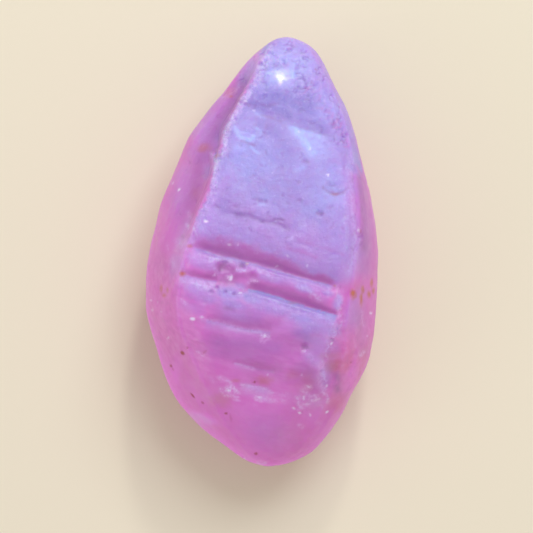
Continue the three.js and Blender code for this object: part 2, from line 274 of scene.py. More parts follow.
# Frosted or bruised streaks, lighter than the skin round them, and painted highlights on lit edges and
# ridges: the line, half width and strength.
STREAKS = [
    ([(-1.88, 3.64), (-1.76, 3.42), (-1.55, 3.36)], 0.06, 0.45),
    ([(3.26, 3.6), (3.22, 2.8), (3.27, 1.6), (3.42, 0.6), (3.4, -0.1), (3.2, -0.7)], 0.14, 0.4),
    ([(3.08, 1.8), (3.12, 0.9), (3.12, 0.0)], 0.2, 0.25), ([(-2.42, 1.15), (-2.2, 0.8)], 0.15, 0.35),
    ([(-2.48, 0.9), (-2.4, 0.72)], 0.05, 1), ([(-2.75, 1.0), (-2.7, 0.88)], 0.06, 0.8),
    ([(-2.56, 0.94), (-2.5, 0.87)], 0.05, 0.5), ([(-2.7, 1.42), (-2.66, 1.3)], 0.1, 0.35),
    ([(-3.1, 0.42), (-2.93, 0.28)], 0.13, 0.35), ([(-2.83, 0.42), (-2.77, 0.3)], 0.09, 0.4),
    ([(-3.46, 0.25), (-3.44, 0.12)], 0.06, 0.35), ([(-3.17, 0.12), (-3.13, 0.05)], 0.08, 0.3),
    ([(-3.28, -0.3), (-3.22, -0.5)], 0.12, 0.35), ([(-2.85, -0.12), (-2.55, -0.2)], 0.1, 0.25),
    ([(-2.7, -0.42), (-2.62, -0.38)], 0.07, 0.3),
    ([(-0.94, -0.6), (-0.82, -0.66), (-0.62, -0.67)], 0.05, 1),
    ([(-0.5, -1.08), (-0.32, -1.05), (-0.14, -1.06)], 0.05, 0.9),
    ([(-1.74, -0.6), (-1.64, -0.84)], 0.05, 0.35), ([(-1.3, -0.88), (-1.18, -0.92)], 0.06, 0.6),
    ([(-0.1, -0.67), (-0.02, -0.7)], 0.06, 0.6), ([(0.22, -0.8), (0.34, -0.9)], 0.06, 0.5),
    ([(-2.88, -0.96), (-2.8, -0.98)], 0.1, 0.4),
    ([(-2.9, -1.0), (-2.4, -1.15), (-1.85, -1.25)], 0.16, 0.45),
    ([(-1.87, -0.27), (-1.6, -0.24)], 0.07, 0.8),
    ([(1.35, -1.22), (1.75, -1.42), (2.1, -1.72)], 0.09, 0.55),
    ([(2.72, -1.3), (2.84, -1.8), (2.82, -2.3)], 0.08, 0.55), ([(2.65, -2.7), (2.45, -3.2)], 0.2, 0.25),
    ([(1.7, -3.75), (1.85, -4.05), (2.12, -4.2), (2.23, -4.48), (2.14, -4.75), (2.28, -5.15)], 0.15, 0.35),
    ([(-2.2, -2.42), (-1.5, -2.55), (-0.82, -2.82), (0.0, -2.98)], 0.09, 0.4),
    ([(0.0, -3.05), (0.22, -3.06)], 0.06, 1), ([(-0.05, -3.24), (0.1, -3.25)], 0.05, 0.5),
    ([(-1.57, -4.6), (-1.36, -4.67), (-1.16, -4.76)], 0.07, 0.7),
    ([(-1.86, -4.62), (-1.8, -4.76)], 0.06, 0.3), ([(-1.3, -5.02), (-1.1, -4.93), (-0.95, -5.06)], 0.1, 1),
    ([(-1.02, -4.95), (-0.86, -5.18)], 0.07, 0.9), ([(-1.31, -5.07), (-1.15, -5.08)], 0.06, 1),
    ([(-1.52, -5.0), (-1.48, -5.05)], 0.07, 0.8),
    ([(-1.42, -5.14), (-1.4, -5.25), (-1.24, -5.24)], 0.06, 0.8),
    ([(-1.2, -5.26), (-0.87, -5.33)], 0.06, 0.7),
    ([(-0.76, -4.85), (-0.3, -4.92), (0.4, -5.12)], 0.06, 0.7),
    ([(-0.7, -5.0), (0.3, -5.16), (0.9, -5.3)], 0.16, 0.3), ([(-1.02, -5.42), (-0.84, -5.46)], 0.05, 0.7),
    ([(-0.2, -5.3), (-0.22, -5.4), (-0.05, -5.47)], 0.05, 0.8),
    ([(-0.02, -5.3), (0.35, -5.42), (0.8, -5.45)], 0.12, 0.35),
    ([(-0.26, -5.62), (-0.2, -5.64)], 0.07, 0.2), ([(1.25, -5.28), (1.36, -5.5)], 0.05, 0.8),
    ([(1.34, -5.55), (1.42, -5.73)], 0.06, 0.7), ([(1.76, -5.31), (1.95, -5.25), (2.0, -5.34)], 0.05, 0.7),
    ([(1.82, -5.47), (1.95, -5.44), (2.1, -5.39)], 0.06, 0.9),
    ([(2.25, -5.15), (2.44, -5.3), (2.41, -5.53)], 0.06, 0.8), ([(1.48, -5.62), (1.7, -5.6)], 0.07, 0.7),
    ([(1.5, -5.0), (1.45, -5.1), (1.65, -5.15)], 0.05, 0.6), ([(1.6, -4.98), (1.78, -4.94)], 0.08, 0.65),
    ([(1.36, -6.38), (1.5, -6.47)], 0.06, 0.6), ([(2.0, -6.3), (2.15, -6.32)], 0.06, 0.2),
    ([(2.15, -5.66), (2.25, -5.72)], 0.06, 0.25), ([(-0.3, -0.6), (0.5, -0.84), (1.4, -1.12)], 0.09, 0.15),
    ([(-1.45, 5.85), (-1.2, 5.95)], 0.15, 0.3), ([(-2.93, -1.76), (-2.8, -1.86)], 0.08, 0.6),
    ([(-2.2, -1.88), (-2.12, -1.92)], 0.06, 0.3),
    ([(-0.98, -4.07), (-0.65, -4.16), (-0.32, -4.28)], 0.05, 0.5),
    ([(-2.37, -3.65), (-2.18, -3.78)], 0.05, 0.7), ([(-1.02, 5.93), (-0.83, 6.2)], 0.06, 0.35),
    ([(1.02, 0.48), (1.15, 0.54)], 0.04, 0.8), ([(-0.15, -7.82), (0.1, -7.84)], 0.07, 0.7),
    ([(3.7, -2.2), (3.78, -2.7)], 0.05, 0.45), ([(3.62, -3.82), (3.78, -3.68)], 0.06, 0.7),
]
# Places where the clear pink shows through, and painted shade in the chip hollows: the line, half width
# and strength.
CLEAR = [
    ([(-1.5, -0.6), (-1.1, -0.68)], 0.2, 0.85), ([(-0.95, -0.86), (-0.25, -0.85)], 0.14, 0.8),
    ([(1.0, -3.5), (-0.6, -3.5), (-1.7, -3.2)], 0.5, 0.5), ([(1.3, -4.4), (1.9, -4.9)], 0.4, 0.55),
    ([(-2.3, 0.5), (-1.7, 0.35)], 0.16, 0.3), ([(0.6, -4.2), (-0.6, -3.95)], 0.35, 0.4),
    ([(0.6, -2.5), (-0.9, -2.6), (-1.7, -2.3)], 0.22, 0.45),
]
# Violet patches of painted shade on the skin and the flanks: the line, half width and strength.
VIOLET_SHADE = [
    ([(0.0, 5.7), (0.9, 5.55), (1.7, 5.4)], 0.45, 0.75),
    ([(0.7, 5.1), (1.6, 4.95), (2.3, 4.6)], 0.22, 0.4),
    ([(-0.4, 5.5), (0.4, 5.3), (1.0, 5.05)], 0.22, 0.85),
    ([(-0.7, 6.3), (-1.0, 5.6), (-1.3, 5.0), (-1.7, 4.3)], 0.24, 0.6),
    ([(-3.2, 1.8), (-3.5, 0.6), (-3.6, -0.4)], 0.4, 0.06),
    ([(-1.6, -3.3), (-0.5, -3.35), (0.5, -3.5)], 0.25, 0.25),
    ([(3.55, 2.9), (3.75, 1.9), (3.86, 1.0), (3.85, 0.2), (3.75, -0.6)], 0.35, 0.32),
    ([(3.6, -2.4), (3.7, -3.6)], 0.3, 0.18), ([(0.6, -0.85), (1.6, -1.15)], 0.14, 0.25),
    ([(-1.3, -2.35), (-0.2, -2.45)], 0.25, 0.3), ([(-1.7, -3.6), (0.1, -3.8)], 0.3, 0.15),
    ([(1.65, -3.9), (1.95, -4.6)], 0.3, 0.15), ([(-0.1, 4.65), (0.5, 4.4), (0.9, 3.7)], 0.3, 0.4),
    ([(-0.3, 3.95), (0.3, 3.5), (1.0, 3.3)], 0.25, 0.25),
    ([(-1.3, 2.0), (-1.5, 1.5), (-0.9, 1.3)], 0.3, 0.2), ([(1.3, -2.95), (1.6, -3.1)], 0.22, 0.35),
]
# Dusky places of painted shade, in pits and cracks or deeper in: the line, half width and strength.
DUSKY_SHADE = [
    ([(-0.95, 1.38), (-0.5, 1.34)], 0.08, 0.35), ([(-0.45, 1.3), (0.02, 1.12), (0.5, 1.03)], 0.08, 0.3),
    ([(0.45, 1.2), (0.8, 1.17)], 0.06, 0.4), ([(0.6, 1.0), (1.0, 0.82)], 0.1, 0.25),
    ([(2.24, 2.4), (2.46, 2.2)], 0.05, 0.45),
    ([(2.46, 2.2), (2.6, 2.16), (2.7, 2.09), (2.82, 2.17), (2.96, 2.2)], 0.06, 0.5),
    ([(2.96, 2.2), (3.16, 2.34)], 0.05, 0.4),
    ([(3.56, 2.7), (3.66, 1.9), (3.68, 1.0), (3.75, 0.2)], 0.15, 0.5),
    ([(1.5, -3.46), (1.65, -3.46)], 0.07, 0.7), ([(-1.35, -2.04), (-1.05, -2.07)], 0.07, 0.4),
    ([(2.03, 1.44), (2.22, 1.43)], 0.07, 0.5), ([(-0.76, 4.07), (-0.51, 4.0), (-0.26, 3.92)], 0.04, 0.4),
    ([(2.54, -3.2), (2.6, -3.22)], 0.06, 0.4), ([(-0.15, 1.9), (0.15, 1.87)], 0.06, 0.35),
    ([(1.34, 1.87), (1.42, 1.87)], 0.06, 0.4), ([(0.9, 1.78), (1.05, 1.77)], 0.05, 0.25),
    ([(1.52, 3.33), (1.7, 3.3)], 0.06, 0.35), ([(-1.66, 1.66), (-1.56, 1.6)], 0.06, 0.35),
    ([(0, 5.03), (0.35, 4.93), (0.7, 4.8)], 0.05, 0.35),
    ([(1.13, 4.69), (2.0, 4.4), (2.7, 4.2)], 0.05, 0.12),
    ([(-0.05, 5.46), (0.2, 5.37), (0.62, 5.46)], 0.05, 0.3), ([(-0.6, 5.45), (-0.5, 5.38)], 0.05, 0.4),
    ([(-0.78, -0.5), (-0.68, -0.5)], 0.07, 0.8), ([(-1.64, -1.29), (-1.63, -1.29)], 0.05, 0.5),
    ([(-1.33, -1.43), (-1.32, -1.43)], 0.05, 0.55), ([(-1.02, -1.52), (-1.01, -1.52)], 0.05, 0.6),
    ([(-1.85, -1.45), (-1.84, -1.45)], 0.06, 0.35), ([(-1.55, 3.5), (-1.5, 3.68)], 0.04, 0.4),
    ([(2.76, -4.5), (2.76, -5.05)], 0.17, 0.6), ([(2.58, -3.9), (2.65, -4.3)], 0.25, 0.2),
    ([(1.5, -4.1), (1.75, -4.4)], 0.2, 0.2), ([(1.9, -3.1), (1.7, -3.2)], 0.2, 0.15),
    ([(-2.4, 3.4), (-2.3, 2.2)], 0.3, 0.12), ([(-1.52, -0.66), (-1.46, -0.5), (-1.36, -0.4)], 0.09, 0.6),
    ([(-1.45, -1.0), (-1.1, -1.1)], 0.16, 0.5), ([(-2.91, 0.56), (-2.89, 0.55)], 0.07, 0.35),
    ([(-2.66, 0.62), (-2.65, 0.6)], 0.06, 0.3), ([(0.5, 6.9), (0.9, 6.8)], 0.15, 0.2),
    ([(0.2, 0.75), (0.22, 0.75)], 0.07, 0.2),
]
# Iron stains: X, Y, reach along X and Y, and strength.
STAINS = [
    (3.33, -1.51, 0.17, 0.25, 1), (3.65, -1.75, 0.09, 0.3, 0.95), (3.71, -1.36, 0.09, 0.18, 0.8),
    (3.96, -1.56, 0.1, 0.17, 0.9), (4.05, -1.14, 0.08, 0.2, 0.8), (4.12, -1.42, 0.1, 0.14, 0.8),
    (3.45, -1.3, 0.4, 0.3, 0.15), (2.69, 2.12, 0.25, 0.06, 0.45), (-2.9, -0.79, 0.15, 0.11, 0.8),
    (-2.62, 0.22, 0.14, 0.09, 0.6), (-3.71, -1.34, 0.07, 0.17, 0.6), (-3.58, -1.58, 0.11, 0.09, 0.6),
    (-3.46, -1.4, 0.07, 0.14, 0.55), (1.2, -6.8, 1.0, 1.0, 0.13), (1.4, -4.9, 0.5, 0.4, 0.14),
    (-1.16, 5.78, 0.1, 0.08, 0.6), (-1.24, 5.95, 0.3, 0.25, 0.3), (-2.15, 3.85, 0.35, 0.22, 0.45),
    (-1.66, 3.54, 0.16, 0.1, 0.5), (2.66, -4.15, 0.4, 0.35, 0.4), (2.8, -5.6, 0.5, 0.5, 0.2),
    (1.15, -4.5, 0.4, 0.3, 0.2), (2.5, -3.8, 0.5, 0.2, 0.22), (-1.5, -5.45, 0.55, 0.35, 0.28),
    (-0.95, -4.7, 0.22, 0.1, 0.4), (0.05, -4.7, 0.4, 0.22, 0.4), (1.7, -4.75, 0.45, 0.5, 0.2),
    (-0.53, -0.42, 0.08, 0.06, 0.5), (2.65, -1.22, 0.07, 0.06, 0.45), (1.1, -1.86, 0.25, 0.06, 0.3),
    (-2.45, 2.2, 0.25, 0.3, 0.15),
]
# Dark red-brown inclusions near the surface: X, Y, half length, half width, turn in degrees and
# strength.
SPECKS = [
    (-2.92, -3.7, 0.11, 0.08, -40, 1), (-2.73, -3.5, 0.06, 0.05, 0, 0.5),
    (-3.37, -4.2, 0.08, 0.06, -60, 0.8), (-3.3, -4.32, 0.1, 0.04, -60, 0.35),
    (-2.56, -5.29, 0.15, 0.045, -50, 0.9), (-2.19, -5.55, 0.08, 0.05, -40, 0.6),
    (-1.32, -5.93, 0.08, 0.05, 10, 0.8), (-2.08, -3.64, 0.12, 0.06, 40, 0.35),
    (-0.27, -4.76, 0.08, 0.05, 35, 0.9), (-0.22, -7.46, 0.08, 0.07, 0, 0.8),
    (-1.15, -6.1, 0.2, 0.06, -80, 0.2), (3.28, -4.05, 0.06, 0.05, 0, 0.4),
    (1.98, 6.76, 0.06, 0.05, 0, 0.3), (3.6, 0.78, 0.06, 0.1, 0, 0.5),
]
# Bright chips and painted glints: X, Y, radius and strength.
GLINTS = [
    (-2.03, 1.12, 0.1, 1), (2.41, 2.83, 0.07, 0.9), (-3.06, 2.31, 0.07, 0.9), (-3.3, 2.57, 0.07, 0.4),
    (-1.13, -0.95, 0.1, 0.9), (-1.22, -0.9, 0.07, 0.5), (-1.72, -0.82, 0.07, 0.4),
    (-0.79, -1.48, 0.07, 0.6), (-2.52, -2.43, 0.11, 1), (-1.21, -5.07, 0.07, 0.9),
    (-0.07, -5.33, 0.07, 0.8), (2.54, -3.34, 0.06, 0.9), (-2.19, -2.36, 0.07, 0.6),
    (0.09, -3.05, 0.08, 0.8), (3.53, 0.8, 0.07, 0.7), (-3.45, -3.15, 0.07, 0.4), (-0.65, -7.68, 0.07, 0.5),
    (2.4, -5.9, 0.08, 0.9), (1.39, -5.92, 0.08, 0.8), (1.78, -6.0, 0.07, 0.6), (2.38, -4.91, 0.07, 0.5),
    (1.54, -5.36, 0.08, 0.7), (1.17, -5.74, 0.09, 0.7), (1.7, -4.93, 0.07, 0.4), (1.45, -4.5, 0.06, 0.4),
    (0.2, -4.48, 0.06, 0.35), (-1.19, 0.27, 0.08, 0.4), (-0.88, 0.28, 0.08, 0.35),
    (0.54, -0.51, 0.07, 0.35), (1.65, -0.5, 0.07, 0.4), (0.93, -0.14, 0.09, 0.4),
    (-0.53, -0.41, 0.06, 0.35), (4.03, -2.24, 0.07, 0.9), (3.9, -3.1, 0.05, 0.4), (-1.5, 0.42, 0.06, 0.3),
    (1.35, 4.42, 0.07, 0.5), (1.75, 3.78, 0.07, 0.5), (-4.1, -1.77, 0.06, 0.5), (-4.05, -2.13, 0.08, 0.35),
    (-3.85, -1.84, 0.07, 0.25), (-3.71, -2.18, 0.06, 0.25), (-0.3, 5.2, 0.06, 0.5),
    (-0.6, 5.55, 0.07, 0.5), (0.4, 2.9, 0.05, 0.3),
]
# The one smooth, glassy place on the skin, near the tip: X, Y and radius.
POLISHED = (0.7, 6.47, 0.6)


# ----------------------------------------------------------
# Helpers.


def linear(colour):
    """An sRGB hex value as linear red, green, blue and alpha."""
    channels = [int(colour[i : i + 2], 16) / 255 for i in (1, 3, 5)]
    return [c / 12.92 if c <= 0.04045 else ((c + 0.055) / 1.055) ** 2.4 for c in channels] + [1]


def ease(value, low, high):
    """0 below low, 1 above high, and smooth between."""
    share = np.clip((value - low) / (high - low), 0, 1)
    return share * share * (3 - 2 * share)


def fade(value, low, high):
    """1 below low, 0 above high, and smooth between."""
    return 1 - ease(value, low, high)


def bell(offset, width):
    """1 where offset is 0, falling away smoothly to both sides."""
    return np.exp(-((offset / width) ** 2))


def bowl(away):
    """The depth of a round hollow: 1 in its middle, and 0 at its rim, where away is 1."""
    return np.maximum(0, 1 - away * away)


def read_surface(stone):
    """The stone's points, in millimetres, and its normals."""
    count = len(stone.data.vertices)
    points = np.empty(count * 3, np.float32)
    normals = np.empty(count * 3, np.float32)
    stone.data.vertices.foreach_get("co", points)
    stone.data.vertices.foreach_get("normal", normals)
    return points.reshape(-1, 3) / MM, normals.reshape(-1, 3)


def drift(points, size, seed):
    """Smooth noise from -1 to 1 at each point, with features of about size millimetres."""
    offset = Vector((seed * 17.3, seed * 5.1, seed * 9.7))
    return np.array([noise.noise(Vector(p) / size + offset) for p in points.tolist()])


def layer_of(points):
    """The growth layer that each point lies in."""
    return points[:, 1] + LAYER_SLANT * points[:, 0]


def follow(points, line):
    """The distance from a line seen from above, and the share along it.

    The distance is positive on the line's +Y side.
    """
    line = np.array(line, float)
    lengths = np.linalg.norm(np.diff(line, axis=0), axis=1)
    starts = np.concatenate([[0], np.cumsum(lengths)])
    nearest = np.full(len(points), np.inf)
    share = np.zeros(len(points))
    for i, length in enumerate(lengths):
        way = (line[i + 1] - line[i]) / length
        offset = points[:, :2] - line[i]
        run = np.clip(offset @ way, 0, length)
        far = np.linalg.norm(offset - run[:, None] * way, axis=1)
        side = np.where(way[0] * offset[:, 1] - way[1] * offset[:, 0] >= 0, 1, -1)
        closer = far < np.abs(nearest)
        nearest = np.where(closer, far * side, nearest)
        share = np.where(closer, (starts[i] + run) / starts[-1], share)
    return nearest, share


def turned(points, x, y, turn):
    """How far each point lies along and across a turned direction through X, Y."""
    east = points[:, 0] - x
    north = points[:, 1] - y
    run = east * math.cos(turn) + north * math.sin(turn)
    rise = north * math.cos(turn) - east * math.sin(turn)
    return run, rise


def ledge_heights(points, wander, fine):
    """For each ledge: the height above its foot, across it, and the wall's reach and end fade there."""
    for ledge in LEDGES:
        height, share = follow(points, ledge["line"])
        height = height + 0.04 * wander + 0.02 * fine
        reach = np.interp(share, np.linspace(0, 1, len(ledge["reach"])), ledge["reach"])
        ends = ease(share, 0, 0.06) * fade(share, 0.95, 1)
        yield ledge, height, reach, ends


def crescents(points, fine):
    """For each crescent chip: its radius, its round rim, and how far to its upper left each point is."""
    for x, y, radius in CRESCENTS:
        across = points[:, 0] - x
        up = points[:, 1] - y
        yield radius, bell(np.hypot(across, up) - radius + 0.08 * fine, CHIP_RIM), up - 0.6 * across


def lines_at(points, marks, wander, fray=0):
    """The strongest of a list of soft lines at each point. fray is added to the distance from them."""
    found = np.zeros(len(points))
    for line, width, strength in marks:
        height, share = follow(points, line)
        past = np.where((share > 0) & (share < 1), 0, 1)
        away = np.abs(height + 0.05 * wander * (1 - 0.5 * past)) + fray
        found = np.maximum(found, strength * bell(away, width))
    return found


def layered_patches_at(points, marks, wander, fine):
    """The strongest of a list of soft patches at each point, drawn out along the growth layers."""
    found = np.zeros(len(points))
    for x, y, along, across, strength in marks:
        run = (points[:, 0] - x) - LAYER_SLANT * (points[:, 1] - y)
        rise = (points[:, 1] - y) + LAYER_SLANT * (points[:, 0] - x)
        away = np.hypot(run / along, rise / across) + 0.2 * wander + 0.1 * fine
        found = np.maximum(found, strength * fade(away, 0.2, 1.2))
    return found


def patches_at(points, marks, fray, low, high):
    """The strongest of a list of upright patches at each point. They fade from low to high, in reaches."""
    found = np.zeros(len(points))
    for x, y, reach_x, reach_y, strength in marks:
        away = np.hypot((points[:, 0] - x) / reach_x, (points[:, 1] - y) / reach_y) + fray
        found = np.maximum(found, strength * fade(away, low, high))
    return found


def polish_at(points, wander, fine):
    """How glassy the one smooth place on the skin is at each point."""
    x, y, radius = POLISHED
    away = np.hypot(points[:, 0] - x, points[:, 1] - y) / radius
    return fade(away + 0.25 * wander + 0.25 * fine, 0.1, 1)


def select_only(thing):
    """Deselects everything, then selects and activates one object."""
    bpy.ops.object.select_all(action="DESELECT")
    thing.select_set(True)
    bpy.context.view_layer.objects.active = thing


def modify(thing, kind, **settings):
    """Adds a modifier with these settings and applies it."""
    bpy.ops.object.modifier_add(type=kind)
    modifier = thing.modifiers[-1]
    for name, value in settings.items():
        setattr(modifier, name, value)
    bpy.ops.object.modifier_apply(modifier=modifier.name)


def modify_where(stone, weights, kind, **settings):
    """Applies a modifier that acts on each point by its own weight."""
    group = stone.vertex_groups.new(name="where")
    levels = np.round(np.clip(weights, 0, 1) * 255).astype(int)
    for level in np.unique(levels[levels > 0]):
        group.add(np.flatnonzero(levels == level).tolist(), level / 255, "REPLACE")
    modify(stone, kind, vertex_group="where", **settings)
    stone.vertex_groups.remove(stone.vertex_groups["where"])


def soften(stone, weights, passes):
    """Smooths the surface where the weights are."""
    modify_where(stone, weights, "SMOOTH", factor=SMOOTHING, iterations=passes)


def press(stone, depths):
    """Moves each point in along its normal by its own depth in millimetres, or out if that is negative."""
    for way in (-1, 1):
        amounts = np.maximum(0, -way * depths)
        deepest = amounts.max()
        if deepest > 0:
            modify_where(stone, amounts / deepest, "DISPLACE", mid_level=0, strength=way * deepest * MM)


def roughen(stone, name, size, height, weights, **noise_settings):
    """Raises and lowers the surface by a procedural noise, with its size and height in millimetres."""
    texture = bpy.data.textures.new(name, "CLOUDS")
    texture.noise_scale = size * MM
    for setting, value in noise_settings.items():
        setattr(texture, setting, value)
    place = {"texture": texture, "texture_coords": "LOCAL", "mid_level": 0.5}
    modify_where(stone, weights, "DISPLACE", strength=height * MM, **place)


def paint(stone, name, values):
    """Stores one number for each point, for the material to read."""
    layer = stone.data.attributes.new(name, "FLOAT", "POINT")
    layer.data.foreach_set("value", np.clip(values, 0, 1).astype(np.float32))


# ----------------------------------------------------------
# The crystal's shape.


def smooth_flats(stone, settings):
    """Smooths the flanks and the flats, and keeps the ridges and the feet of the ledges."""
    points, normals = read_surface(stone)
    flanks = fade(normals[:, 2], 0.45, 0.8)
    soften(stone, flanks, FLANK_PASSES)

    edge, _ = follow(points, LEFT_EDGE)
    sharp = fade(np.abs(edge), 0.2, 0.5) * ease(points[:, 1], 0.7, 1.5)
    lips = np.zeros(len(points))
    feet = np.zeros(len(points))
    for ledge in SOLID_LEDGES:
        height, _ = follow(points, ledge["line"])
        sharp = np.maximum(sharp, fade(np.abs(height), 0.3, 0.9))
        lips = np.maximum(lips, fade(np.abs(height + 0.32), 0.2, 0.42))
        feet = np.maximum(feet, fade(np.abs(height), 0.08, 0.2))
    height, share = follow(points, SHOULDER)
    shoulder = fade(np.abs(height), 0.2, 0.6) * ease(share, 0, 0.15)
    soften(stone, (1 - flanks) * (1 - sharp), FLAT_PASSES)
    soften(stone, np.maximum(lips * (1 - flanks), shoulder), settings.lip_wear)
    soften(stone, feet * (1 - flanks), FOOT_PASSES)

    # Smoothing draws the flanks in a little. This brings them back out.
    press(stone, -settings.flank_fill / MM * flanks)


def refined_copy(settings):
    """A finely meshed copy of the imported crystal, with its flats between the ridges smoothed."""
    select_only(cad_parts[NODE])
    bpy.ops.object.duplicate()
    stone = bpy.context.object
    for key in list(stone.keys()):
        del stone[key]
    stone.name = stone.data.name = "worn_crystal"
    select_only(stone)
    bpy.ops.object.mode_set(mode="EDIT")
    bpy.ops.mesh.select_all(action="SELECT")
    bpy.ops.mesh.remove_doubles(threshold=MERGE_DISTANCE)
    bpy.ops.object.mode_set(mode="OBJECT")
    modify(stone, "REMESH", mode="VOXEL", voxel_size=settings.mesh_step, use_smooth_shade=True)
    modify(stone, "SMOOTH", factor=SMOOTHING, iterations=STONE_PASSES)
    smooth_flats(stone, settings)

    # The underside needs fewer faces.
    _, normals = read_surface(stone)
    modify_where(stone, fade(normals[:, 2], -0.4, -0.1), "DECIMATE", ratio=settings.kept_faces)
    return stone


def carve(stone, settings):
    """Cuts the ledges, grooves and pits, and breaks the edges."""
    points, normals = read_surface(stone)
    upper = ease(normals[:, 2], 0.1, 0.4)
    wander = drift(points, 0.5, 1)
    fine = drift(points, 0.16, 2)
    depths = np.zeros(len(points))

    for ledge, height, reach, ends in ledge_heights(points, wander, fine):
        wall = np.maximum(0, 1 - height / reach) ** 2
        lip = np.maximum(0, 1 + height / ledge["lip"])
        depths = np.maximum(depths, ledge["depth"] * np.where(height > 0, wall, lip) * ends)

    for line, width, depth in GROOVES:
        height, share = follow(points, line)
        away = np.abs(height + 0.05 * wander + 0.03 * fine) / width
        ends = ease(share, 0, 0.15) * fade(share, 0.85, 1)
        depths += depth * np.maximum(0, 1 - away) * ends * (1 + 0.8 * wander)

    for x, y, radius, depth in PITS:
        away = np.hypot(points[:, 0] - x, points[:, 1] - y) / radius * (1 + 0.4 * fine)
        depths += depth * bowl(away)

    for radius, rim, lean in crescents(points, fine):
        depths += 0.035 * rim * ease(lean, -radius, radius) * (0.8 + wander)

    # The left edge stays crisp above its hollow.
    height, share = follow(points, LEFT_EDGE)
    beside = -height - 0.06 + 0.06 * wander + 0.05 * fine
    step = ease(beside, 0, 0.12) * fade(beside, 0.12, 0.8) * ease(share, 0.04, 0.15)
    depths += 0.05 * step * fade(share, 0.7, 0.9)
    rim = bell(height - 0.05 + 0.03 * wander, 0.13) * ease(share, 0.1, 0.2) * fade(share, 0.55, 0.7)
    depths -= 0.09 * rim * (0.8 + 0.3 * fine)

    press(stone, depths * upper * settings.relief)


def dent(stone, settings):
    """Broad shallow hollows worn into the sides below the widest line and into the underside."""
    points, normals = read_surface(stone)
    low = fade(normals[:, 2], -0.3, -0.08) * ease(points[:, 2], 0.15, 0.6)
    chance = np.random.default_rng(DENT_SEED)
    depths = np.zeros(len(points))
    for i in chance.choice(np.flatnonzero(low > 0.5), settings.dents, replace=False):
        radius = chance.uniform(*DENT_RADII)
        away = np.linalg.norm(points - points[i], axis=1) / radius
        depths = np.maximum(depths, chance.uniform(*DENT_DEPTHS) * radius * bowl(away))
    press(stone, depths * low * settings.relief)


def crumbled_at(points):
    """How crumbled each point is: along the edges, along the lips of the long ledges and in patches."""
    edge, share = follow(points, LEFT_EDGE)
    crumbs = 0.9 * bell(edge - 0.12, 0.15) * ease(share, 0, 0.06) * (1 - 0.65 * ease(share, 0.68, 0.85))
    edge, _ = follow(points, CRUMBLED_RIGHT_EDGE)
    crumbs = np.maximum(crumbs, 0.6 * bell(edge, 0.12))
    crumbs = np.maximum(crumbs, patches_at(points, CRUMBLED, 0, 0.3, 1.1))
    for ledge in LONG_LEDGES:
        height, _ = follow(points, ledge["line"])
        crumbs = np.maximum(crumbs, 0.3 * bell(height + 0.2, 0.15))
    return crumbs


def creases_at(points, upper):
    """Where the skin is wrinkled, at the tip and down its right side."""
    right, _ = follow(points, RIGHT_EDGE)
    right_side = ease(right, -0.9, -0.2) * ease(points[:, 1], 3.2, 4.6)
    wrinkled = np.maximum(ease(layer_of(points), 5.6, 6.6), right_side) * upper
    fold = np.abs(drift(points, 0.36, 21) + 0.45 * drift(points, 0.16, 22))
    creases = ease(1 - fold / 0.22, 0, 1) * wrinkled * ease(drift(points, 0.4, 23), -0.3, 0.3)
    return creases * fade(polish_at(points, 0, 0), 0, 0.2)


def weather(stone, settings):
    """Adds the lumps, striations, crumbled patches, frosted grain and wrinkles."""
    points, normals = read_surface(stone)
    lifted = ease(points[:, 2], 0.1, 0.8) * (1 - polish_at(points, 0, 0))
    upper = ease(normals[:, 2], 0.2, 0.6) * lifted
    tip = ease(points[:, 1], 4.8, 6.2)
    roughen(stone, "lumps", 1.7, 0.16, lifted, noise_depth=1)
    waves = lifted * (0.25 + 0.4 * upper) * (0.75 + 0.75 * tip)
    roughen(stone, "worn_waves", 0.5, 0.05, waves, noise_depth=2)

    # Striations lie along the growth layers, clearest between the two long ledges.
    layer = layer_of(points)
    rows = np.stack([layer / 0.17, points[:, 0] / 2.4, np.zeros(len(points))], axis=1)
    clearness = 0.1 + 0.9 * bell(layer + 1.8, 1.8)
    lines = drift(rows, 1, 5) * ease(drift(points, 1.4, 6), -0.3, 0.4) * clearness
    sides = 0.5 * fade(normals[:, 2], 0, 0.2)
    press(stone, 0.02 * lines * np.maximum(upper, sides) * settings.relief)

    crumbs = crumbled_at(points) * upper
    roughen(stone, "crumbs", 0.15, 0.075, crumbs, noise_depth=2, noise_type="HARD_NOISE")
    grain = lifted * (0.08 + 0.5 * upper) * (0.65 + 1.05 * tip)
    roughen(stone, "grain", 0.18, 0.055, grain, noise_depth=2)

    creases = creases_at(points, upper)
    press(stone, 0.07 * creases * settings.relief)
    return crumbs, creases


def knock(stone, open_to, count, radii, depth):
    """Small crescent marks from knocks in the river, scattered where the stone is open to them."""
    points, normals = read_surface(stone)
    chance = np.random.default_rng(count)
    marks = np.zeros(len(points))
    for i in chance.choice(np.flatnonzero(open_to), count, replace=False):
        radius = chance.uniform(*radii)
        turn = chance.uniform(0, 2 * math.pi)
        offset = points - points[i]
        side = np.cross(normals[i], (math.cos(turn), math.sin(turn), 0.3))
        side /= np.linalg.norm(side)
        across = offset @ side
        up = offset @ np.cross(normals[i], side)
        rim = bell(np.hypot(across, up) - radius, KNOCK_RIM) * ease(up, -0.2 * radius, 0.9 * radius)
        near = np.linalg.norm(offset, axis=1) < 2 * radius
        marks = np.maximum(marks, np.where(near, rim * chance.uniform(0.4, 1), 0))
    press(stone, depth * marks)
    return marks


# ----------------------------------------------------------
# The crystal's colours.


